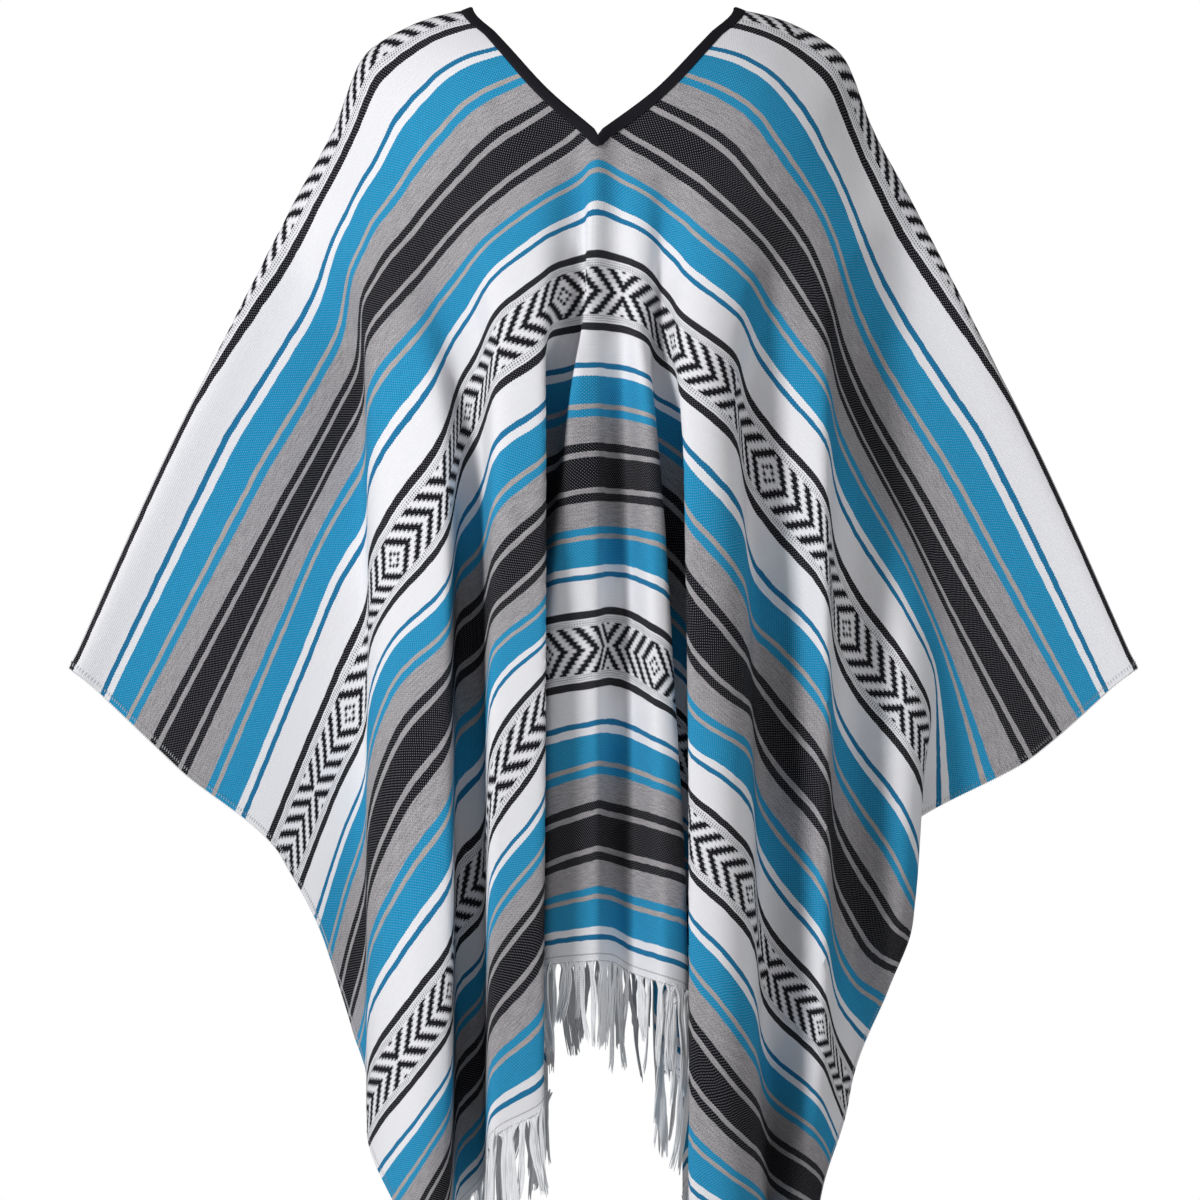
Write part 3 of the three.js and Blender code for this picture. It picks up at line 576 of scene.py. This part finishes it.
def make_cloth(material):
    """The sheet as two faces WALL apart, joined along every edge."""
    mid, out, rows = pos[:, :, BODY], normals[:, :, BODY], ROWS[BODY]
    count = mid.shape[:3]
    ids = np.arange(np.prod(count)).reshape(count)
    ids[LEFT, 0, JOINED[BODY]] = ids[RIGHT, 0, JOINED[BODY]]
    used, index = np.unique(ids, return_inverse=True)
    index = index.reshape(count)
    flat_mid, flat_out = mid.reshape(-1, 3)[used], out.reshape(-1, 3)[used]
    across = on_cloth(rows[None], SHARES[:, None])[None] * np.array(SIDES)[:, None, None]
    down = np.broadcast_to(rows, count)
    points = np.concatenate([flat_mid + flat_out * WALL / 2, flat_mid - flat_out * WALL / 2])
    inner = len(used)

    quads = []
    for half in (RIGHT, LEFT):
        a, b = index[half, :-1, :-1], index[half, 1:, :-1]
        c, d = index[half, 1:, 1:], index[half, :-1, 1:]
        ring = [a, d, c, b] if half == LEFT else [a, b, c, d]
        face = np.stack(ring, -1).reshape(-1, 4)
        quads += [face, face[:, ::-1] + inner]

    def rim(line, flip):
        """The strip between the two faces along one edge."""
        a, b = line[:-1], line[1:]
        strip = np.stack([a, b, b + inner, a + inner], -1)
        quads.append(strip[:, ::-1] if flip else strip)

    for half in (RIGHT, LEFT):
        right = half == RIGHT
        rim(index[half, -1], not right)
        rim(index[half, :, 0], right)
        rim(index[half, :, -1], not right)
        rim(index[half, 0, NECK_ROWS[BODY]], right)
    faces = np.concatenate(quads)

    def both(values):
        picked = np.asarray(values).reshape(-1)[used]
        return np.concatenate([picked, picked])

    attributes = [
        ("across", both(across)),
        ("down", both(down)),
        ("inside", np.repeat([0.0, 1.0], inner)),
    ]
    return make_object("poncho_cloth", points, faces.tolist(), material, attributes)


def tubes(name, paths, radius, material, tone=0.0):
    """Round strands along paths (strand, point, xyz), closed at both ends."""
    strands, n = paths.shape[:2]
    sides = STRAND_SIDES
    way = np.gradient(paths, axis=1)
    way /= np.linalg.norm(way, axis=-1, keepdims=True) + 1e-9
    aside = np.cross(way, (0.31, 0.83, 0.47))  # a direction that no strand follows
    aside /= np.linalg.norm(aside, axis=-1, keepdims=True) + 1e-9
    third = np.cross(way, aside)
    turn = np.arange(sides) * 2 * np.pi / sides
    radius = np.broadcast_to(radius, (strands, n))[..., None, None]
    ring = np.cos(turn)[:, None] * aside[:, :, None] + np.sin(turn)[:, None] * third[:, :, None]
    points = (paths[:, :, None] + ring * radius).reshape(-1, 3)
    ids = np.arange(strands * n * sides).reshape(strands, n, sides)
    after = np.roll(ids, -1, axis=2)
    walls = np.stack([ids[:, :-1], after[:, :-1], after[:, 1:], ids[:, 1:]], -1)
    faces = walls.reshape(-1, 4).tolist()
    faces += ids[:, 0, ::-1].tolist() + ids[:, -1].tolist()
    run = np.cumsum(np.linalg.norm(np.diff(paths, axis=1), axis=-1), 1)
    run = np.concatenate([np.zeros((strands, 1)), run], 1)
    attributes = [
        ("along", np.repeat(run.reshape(-1), sides)),
        ("around", np.tile(np.arange(sides) / sides, strands * n)),
        ("tone", np.repeat(np.broadcast_to(tone, strands), n * sides)),
    ]
    return make_object(name, points, faces, material, attributes)


# ---- materials ------------------------------------------------------------
class Graph:
    """A material's nodes, written as nested calls."""

    def __init__(self, name):
        self.material = bpy.data.materials.new(name)
        self.material.use_nodes = True
        self.tree = self.material.node_tree
        self.shader = self.tree.nodes["Principled BSDF"]

    def node(self, kind, out=0, settings=(), **inputs):
        """A node's output; an input is named, or numbered as i0, i1 and so on."""
        n = self.tree.nodes.new("ShaderNode" + kind)
        for key, value in dict(settings).items():
            setattr(n, key, value)
        for key, value in inputs.items():
            numbered = key[0] == "i" and key[1:].isdigit()
            self.plug(n.inputs[int(key[1:]) if numbered else key.replace("_", " ")], value)
        return n.outputs[out]

    def plug(self, socket, value):
        if isinstance(value, bpy.types.NodeSocket):
            self.tree.links.new(value, socket)
        else:
            socket.default_value = value

    def math(self, operation, a, b=0.0):
        return self.node("Math", settings={"operation": operation}, i0=a, i1=b)

    def attribute(self, name):
        return self.node("Attribute", out="Fac", settings={"attribute_name": name})

    def mix(self, share, a, b):
        return self.node("Mix", out=2, settings={"data_type": "RGBA"}, i0=share, i6=a, i7=b)

    def shaded(self, colour, value):
        """The colour made lighter or darker."""
        return self.node("HueSaturation", Color=colour, Hue=0.5, Saturation=1.0, Value=value)

    def ramp_up(self, value, low, high):
        """0 below low, 1 above high and smooth between."""
        return self.node(
            "MapRange", settings={"interpolation_type": "SMOOTHSTEP"},
            Value=value, From_Min=low, From_Max=high,
        )

    def noise(self, where, scale, detail=2.0):
        return self.node("TexNoise", Vector=where, Scale=scale, Detail=detail)

    def uneven(self, where, scale, amount, detail=2.0):
        """Noise about 0, of that amount."""
        return self.math("MULTIPLY", self.math("SUBTRACT", self.noise(where, scale, detail), 0.5), amount)

    def finish(self, colour, height, bump, relief, **plain):
        """Links the colour and the relief (mm) and sets the rest on the shader."""
        self.plug(self.shader.inputs["Base Color"], colour)
        normal = self.node("Bump", Strength=bump, Distance=relief * MM, Height=height)
        self.plug(self.shader.inputs["Normal"], normal)
        for key, value in plain.items():
            self.shader.inputs[key.replace("_", " ")].default_value = value
        return self.material


def rgba(name, factor=1.0):
    return (*(c * factor for c in YARN[name]), 1.0)


def stripe_ramp(g, position, key):
    """A stepped ramp over half a repeat; key gives each stripe's stop."""
    output = g.node("ValToRGB", Fac=position)
    ramp = output.node.color_ramp
    ramp.interpolation = "CONSTANT"
    start = 0.0
    for k, stripe in enumerate(STRIPES):
        stop = ramp.elements[0] if k == 0 else ramp.elements.new(start / (BAND / 2))
        stop.color = key(stripe)
        start += stripe[1]
    ramp.elements.remove(ramp.elements[-1])
    return output


def figure_ink(g, across, from_band, warp):
    """How black the woven figure is: diamonds with chevrons out to an X."""
    m = g.math
    row = m("SNAP", m("ADD", from_band, FIGURE_ROW / 2), FIGURE_ROW)
    in_pick = m("SUBTRACT", m("FRACT", m("DIVIDE", from_band, FIGURE_PICK)), 0.5)
    from_diamond = m("PINGPONG", m("ADD", across, FIGURE_SHIFT * MOTIF), MOTIF / 2)
    arm = m("ADD", m("ADD", from_diamond, row), m("MULTIPLY", in_pick, FIGURE_FEATHER))
    phase = m("FRACT", m("DIVIDE", arm, MOTIF / FIGURE_LINES))
    black = m("LESS_THAN", phase, FIGURE_INK)
    black = m("MULTIPLY", black, m("GREATER_THAN", arm, FIGURE_ROW * FIGURE_HEART))
    black = m("MULTIPLY", black, m("LESS_THAN", from_band, FIGURE_HALF))

    # thin dotted lines beside the figure
    line = m("PINGPONG", m("SUBTRACT", from_band, FIGURE_HALF), DOTTED_PITCH / 2)
    line = m("GREATER_THAN", line, (DOTTED_PITCH - DOTTED_LINE) / 2)
    line = m("MULTIPLY", line, m("GREATER_THAN", from_band, FIGURE_HALF + DOTTED_FROM))
    line = m("MULTIPLY", line, m("GREATER_THAN", warp, -0.3))
    ink = m("MAXIMUM", black, m("MULTIPLY", line, DOTTED_INK))

    swap = m("MULTIPLY", g.attribute("inside"), INSIDE_SWAP)
    ink = m("ABSOLUTE", m("SUBTRACT", ink, swap))
    return m("MULTIPLY", ink, m("LESS_THAN", from_band, STRIPES[0][1]))


def drawn_threads(g, down, warp):
    """1 in the holes of the drawn-thread line above each fringe."""
    m = g.math
    from_hem = m("SUBTRACT", HALF_LENGTH, m("ABSOLUTE", down))
    from_line = m("PINGPONG", m("SUBTRACT", from_hem, HEM_LINE), HEM_LINE / 2)
    hole = m("LESS_THAN", from_line, HEM_HOLE / 2)
    hole = m("MULTIPLY", hole, m("LESS_THAN", from_hem, HEM_LINE * 1.4))
    return m("MULTIPLY", hole, m("GREATER_THAN", warp, -0.1))


def woven_cloth():
    g = Graph("woven_cloth")
    m = g.math
    across, down = g.attribute("across"), g.attribute("down")
    flat = g.node("CombineXYZ", X=across, Y=down)

    # plain weave: the light warp rises between the coloured weft rows
    drift = g.uneven(flat, DRIFT_SCALE, THREAD_DRIFT)
    warp = m("SINE", m("MULTIPLY", m("ADD", across, drift), math.pi / WARP_PITCH))
    weft = m("SINE", m("MULTIPLY", m("ADD", down, drift), math.pi / WEFT_PITCH))
    weave = m("MULTIPLY", warp, weft)
    dot = g.ramp_up(weave, *WARP_DOT)

    # stripes, their edges a little uneven
    sway = g.uneven(flat, SWAY_SCALE, STRIPE_SWAY)
    tooth = m("MULTIPLY", weave, STRIPE_TOOTH)
    from_band = m("PINGPONG", m("ADD", m("ADD", down, sway), tooth), BAND / 2)
    position = m("DIVIDE", from_band, BAND / 2)
    stripes = stripe_ramp(g, position, lambda s: rgba(s[0]))
    traits = stripe_ramp(g, position, lambda s: (s[2], s[3], 0.0, 1.0))
    light_warp, mottled = g.node("SeparateColor", Color=traits).node.outputs[:2]
    colour = g.mix(figure_ink(g, across, from_band, warp), stripes, rgba("black"))

    # mottled yarn, then the warp's dots, then painted shade in the weave's hollows and painted light on
    # its threads
    fleck = g.noise(flat, FLECK_SCALE, 1.0)
    stretched = g.node("CombineXYZ", X=m("MULTIPLY", across, SLUB_STRETCH), Y=down)
    mottle = m("ADD", m("MULTIPLY", m("SUBTRACT", fleck, 0.5), FLECK),
               g.uneven(stretched, SLUB_SCALE, SLUB, 1.0))
    colour = g.shaded(colour, m("ADD", m("MULTIPLY", mottle, mottled), 1.0))
    colour = g.mix(m("MULTIPLY", dot, light_warp), colour, rgba("white"))
    # painted shade in the weave's hollows, painted light on its threads
    thread = g.ramp_up(m("ABSOLUTE", weave), 0.0, 0.35)
    colour = g.shaded(colour, m("ADD", m("MULTIPLY", thread, WEAVE_TOP_LIGHT), WEAVE_HOLLOW_SHADE))

    hole = drawn_threads(g, down, warp)
    # painted shade in the holes of the drawn-thread line, a dark grey
    colour = g.mix(m("MULTIPLY", hole, HEM_HOLE_SHADE), colour, rgba("grey", 0.4))
    height = m("ADD", m("MULTIPLY", m("ABSOLUTE", weave), 0.8), m("MULTIPLY", fleck, 0.4))
    height = m("SUBTRACT", height, m("MULTIPLY", hole, 2.0))
    return g.finish(colour, height, bump=0.5, relief=0.5, Roughness=0.95, Specular_IOR_Level=0.08)


def yarn(name, colour_name, twist):
    """Twisted yarn: slanted plies along each strand, with painted shade in the grooves between them and
    painted light on the plies; each strand has its own tone.
    """
    g = Graph(name)
    m = g.math
    ply = m("FRACT", m("ADD", m("DIVIDE", g.attribute("along"), twist), g.attribute("around")))
    groove = m("PINGPONG", ply, 0.5)
    # painted shade in the grooves and painted light on the plies, then the strand's own tone
    value = m("ADD", m("MULTIPLY", groove, YARN_PLY_LIGHT), YARN_GROOVE_SHADE)
    value = m("ADD", value, m("MULTIPLY", g.attribute("tone"), YARN_TONE))
    colour = g.shaded(rgba(colour_name), value)
    return g.finish(colour, groove, bump=0.6, relief=0.3, Roughness=0.9, Specular_IOR_Level=0.2)


def woven_tape():
    """Ribbed black tape with painted light and shade over its ribs, sewn on beside its two edges."""
    g = Graph("binding")
    m = g.math
    along, over = g.attribute("along"), g.attribute("over")
    rib = m("SINE", m("MULTIPLY", along, math.pi / TAPE_RIBS[0]))
    cross = m("MULTIPLY", rib, m("SINE", m("MULTIPLY", over, math.pi / TAPE_RIBS[1])))
    from_seam = m("ABSOLUTE", m("SUBTRACT", m("ABSOLUTE", over), TAPE_WIDTH - TAPE_SEAM))
    in_stitch = m("SINE", m("MULTIPLY", along, 2 * math.pi / TAPE_STITCH))
    stitched = m("LESS_THAN", from_seam, TAPE_THREAD / 2)
    stitched = m("MULTIPLY", stitched, m("GREATER_THAN", in_stitch, -0.2))
    # painted light and shade over the ribs; the stitches' thread is lighter
    value = m("ADD", m("ADD", m("MULTIPLY", cross, 0.25), 1.0), m("MULTIPLY", stitched, 0.9))
    height = m("ADD", cross, m("MULTIPLY", stitched, 2.0))
    return g.finish(
        g.shaded(rgba("tape"), value), height, bump=0.4, relief=0.25,
        Roughness=0.8, Specular_IOR_Level=0.12,
    )


cloth = make_cloth(woven_cloth())
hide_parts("cloth")


# ---- the neck binding -----------------------------------------------------
def tape_outline():
    """The tape's section: distance into the cloth, distance off its middle."""
    top, skin = WALL / 2 + TAPE_WALL, WALL / 2 + 0.05
    outer = [
        (TAPE_WIDTH, skin), (TAPE_WIDTH, top - 0.3), (TAPE_WIDTH - 0.4, top),
        (6.5, top + 0.15), (3.5, top + 0.1), (0.6, top), (-0.9, top * 0.62),
    ]
    inner = [(6.5, skin), (3.5, skin), (0.0, skin)]
    return np.array(
        outer + [(-TAPE_FOLD, 0.0)] + [(d, -n) for d, n in outer[::-1]]
        + [(d, -n) for d, n in inner] + [(-0.3, 0.0)] + inner[::-1]
    )


def unit(vector):
    return vector / np.linalg.norm(vector)


def into_cloth(half, u, way):
    """The direction square to the neck's edge, and how far the tape is turned.

    Beside a V point the tape turns until it runs straight down from the point.
    """
    face = FRONT if u >= 0 else BACK
    ends = face * (min(abs(u) + 2, NECK_DEPTH) - np.array([0.0, 4.0]))
    low, high = (sample(half, notch(v), v)[0] for v in ends)
    edge_way = unit(high - low)
    way = way - edge_way * (way @ edge_way)
    turned = max(0.0, 1 - (NECK_DEPTH - abs(u)) / TAPE_ROUND)
    if turned > 0:
        row = np.argmin(np.abs(ROWS - face * NECK_DEPTH))
        down_way = unit(pos[half, 0, row] - pos[:, 0, row - face].mean(0))
        way = (1 - turned) * unit(way) + turned * down_way
    return unit(way), turned


def make_binding(material):
    """A tape folded over the cut edge, turning round at the two V points."""
    turning = NECK_DEPTH - np.array([0.5, 1.0]) * TAPE_ROUND
    downs = np.sort(np.r_[-turning, ROWS[NECK_ROWS], turning])
    loop = [(RIGHT, u) for u in downs] + [(LEFT, u) for u in downs[-2:0:-1]]
    outline = tape_outline()
    points, edges = [], []
    for half, u in loop:
        edge, n, way = sample(half, notch(u), np.float64(u))
        way, turned = into_cloth(half, u, way)
        points.append(edge + (outline[:, :1] - 0.5 * turned) * way + outline[:, 1:] * n)
        edges.append(edge)
    points = np.array(points)
    count, k = points.shape[:2]
    run = np.cumsum([0, *np.linalg.norm(np.diff(edges, axis=0), axis=1)])
    over = np.sign(outline[:, 1]) * outline[:, 0]
    ids = np.arange(count * k).reshape(count, k)
    after, up = np.roll(ids, -1, 0), np.roll(ids, -1, 1)
    quads = np.stack([ids, up, np.roll(after, -1, 1), after], -1).reshape(-1, 4)
    attributes = [("along", np.repeat(run, k)), ("over", np.tile(over, count))]
    return make_object("neck_tape", points.reshape(-1, 3), quads.tolist(), material, attributes)


tape = make_binding(woven_tape())
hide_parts("neck_binding")


# ---- overlocked side edges ------------------------------------------------
def make_overlock(name, half, material):
    """A thread wound over the cut side edge from hem to hem."""
    end = HALF_LENGTH - 2
    count = int(2 * end / STITCH_PITCH)
    u = np.repeat(np.linspace(-end, end, count), 4)
    u = u + np.tile([0, 0.25, 0.5, 0.75], count) * STITCH_PITCH
    u = np.clip(u, -HALF_LENGTH + 1, HALF_LENGTH - 1)
    into = np.tile([STITCH_BITE, -STITCH_PAST, STITCH_BITE, -STITCH_PAST], count)
    off = np.tile([1.0, 0.0, -1.0, 0.0], count) * (WALL / 2 + STITCH_LIFT)
    p, n, _ = sample(half, HALF_WIDTH - into, u)
    return tubes(name, (p + n * off[:, None])[None], STITCH_RADIUS, material)


thread = yarn("overlock_thread", "thread", twist=0.8)
edge_pieces = [
    make_overlock("overlock_right", RIGHT, thread),
    make_overlock("overlock_left", LEFT, thread),
]

# ---- fringes --------------------------------------------------------------
rng = np.random.default_rng(7)
fringe_yarn = yarn("fringe", "fringe", twist=2.4)


def make_fringe(name, face):
    """Uneven flat tassels of loose warp yarns along one hem."""
    paths = []
    share = np.linspace(0, 1, STRAND_POINTS)
    start = FRINGE_FROM - HALF_WIDTH
    while start < HALF_WIDTH - FRINGE_TO:
        wide = rng.uniform(*(BROAD if rng.random() < BROAD_SHARE else NARROW))
        length = FRINGE * rng.uniform(*TASSEL_LENGTH)
        widths = [*TASSEL_WIDTHS, rng.uniform(*TASSEL_TIP)]
        lean, swing, twist = (rng.uniform(*r) for r in (TASSEL_LEAN, TASSEL_SWING, TASSEL_TWIST))
        wave = rng.uniform(*ANY_PHASE, 2)
        width = wide * np.interp(share, [0, 0.1, 0.35, 1], widths)
        count = int(wide / STRAND_PITCH)
        middle = start + wide * TASSEL_WIDTHS[0] / 2
        half = RIGHT if middle < 0 else LEFT
        across = np.full(STRAND_POINTS, np.clip(abs(middle), 3, HALF_WIDTH - 3))
        for spread in (np.arange(count) + 0.5) / count - 0.5:
            own = rng.uniform(*ANY_PHASE)
            down = HALF_LENGTH - FRINGE_ROOT + share * length * rng.uniform(0.9, 1.0)
            p, n, way = sample(half, across, face * np.minimum(down, HALF_LENGTH + FRINGE - 0.1))
            slide = spread * width * np.cos(twist * share) + lean * share**1.5
            slide = slide + TASSEL_WAVE[0] * np.sin(wave[0] + share * 5) * share
            slide = slide + STRAND_SWAY[0] * np.sin(own + share * 9)
            lift = spread * width * np.sin(twist * share) + swing * share**1.5
            lift = lift + TASSEL_WAVE[1] * np.sin(wave[1] + share * 4) * share
            lift = lift + STRAND_SWAY[1] * np.sin(own + share * 8)
            paths.append(p + way * (SIDES[half] * slide)[:, None] + n * lift[:, None])
        start += wide + rng.uniform(*TASSEL_GAP)
    tone = rng.uniform(-1, 0.3, len(paths))
    radii = np.interp(share, [0, 0.1, 0.9, 1], STRAND_RADII)
    return tubes(name, np.array(paths), radii, fringe_yarn, tone)


fringes = [make_fringe("front_tassels", FRONT), make_fringe("back_tassels", BACK)]
for piece, node in zip(fringes, ("fringe_front", "fringe_back")):
    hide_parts(node)

# ---- floor, light and camera ----------------------------------------------
scene = bpy.context.scene
scene.view_settings.view_transform = "Standard"

floor_z = cad_box[0].z - FLOOR_GAP
corners = [(sx * FLOOR_HALF, sy * FLOOR_HALF, floor_z) for sx, sy in ((-1, -1), (1, -1), (1, 1), (-1, 1))]
floor_mesh = bpy.data.meshes.new("floor")
floor_mesh.from_pydata(corners, [], [(0, 1, 2, 3)])
floor_material = bpy.data.materials.new("floor")
floor_material.use_nodes = True
paint = floor_material.node_tree.nodes["Principled BSDF"]
paint.inputs["Base Color"].default_value = (0.8, 0.8, 0.8, 1)
paint.inputs["Roughness"].default_value = 0.9
floor_mesh.materials.append(floor_material)
floor = bpy.data.objects.new("floor", floor_mesh)
scene.collection.objects.link(floor)

world = bpy.data.worlds.new("studio")
world.use_nodes = True
tree = world.node_tree
sky = tree.nodes["Background"]  # what the cloth is lit by
sky.inputs["Color"].default_value = (1, 1, 1, 1)
sky.inputs["Strength"].default_value = SKY
backdrop = tree.nodes.new("ShaderNodeBackground")  # what is seen behind it
backdrop.inputs["Color"].default_value = (1, 1, 1, 1)
seen = tree.nodes.new("ShaderNodeLightPath")
choose = tree.nodes.new("ShaderNodeMixShader")
tree.links.new(seen.outputs["Is Camera Ray"], choose.inputs[0])
tree.links.new(sky.outputs[0], choose.inputs[1])
tree.links.new(backdrop.outputs[0], choose.inputs[2])
tree.links.new(choose.outputs[0], tree.nodes["World Output"].inputs["Surface"])
scene.world = world


def soft_light(name, place, size, watts):
    """A round lamp that shines at AIM."""
    lamp = bpy.data.lights.new(name, "AREA")
    lamp.shape, lamp.size, lamp.energy = "DISK", size, watts
    obj = bpy.data.objects.new(name, lamp)
    obj.location = place
    obj.rotation_euler = (Vector(AIM) - Vector(place)).to_track_quat("-Z", "Y").to_euler()
    scene.collection.objects.link(obj)


soft_light("key", (-2.4, -2.6, 1.0), size=0.9, watts=124)
soft_light("fill", (2.4, -2.4, 0.1), size=1.6, watts=22)

lens = bpy.data.cameras.new("camera")
lens.sensor_width = 36.0
lens.lens = lens.sensor_width * VIEW_FROM / VIEW_WIDTH
lens.clip_end = 100
camera = bpy.data.objects.new("camera", lens)
camera.location = (VIEW_CENTRE[0], VIEW_PLANE - VIEW_FROM, VIEW_CENTRE[1])
camera.rotation_euler = (math.pi / 2, 0, 0)
scene.collection.objects.link(camera)
scene.camera = camera
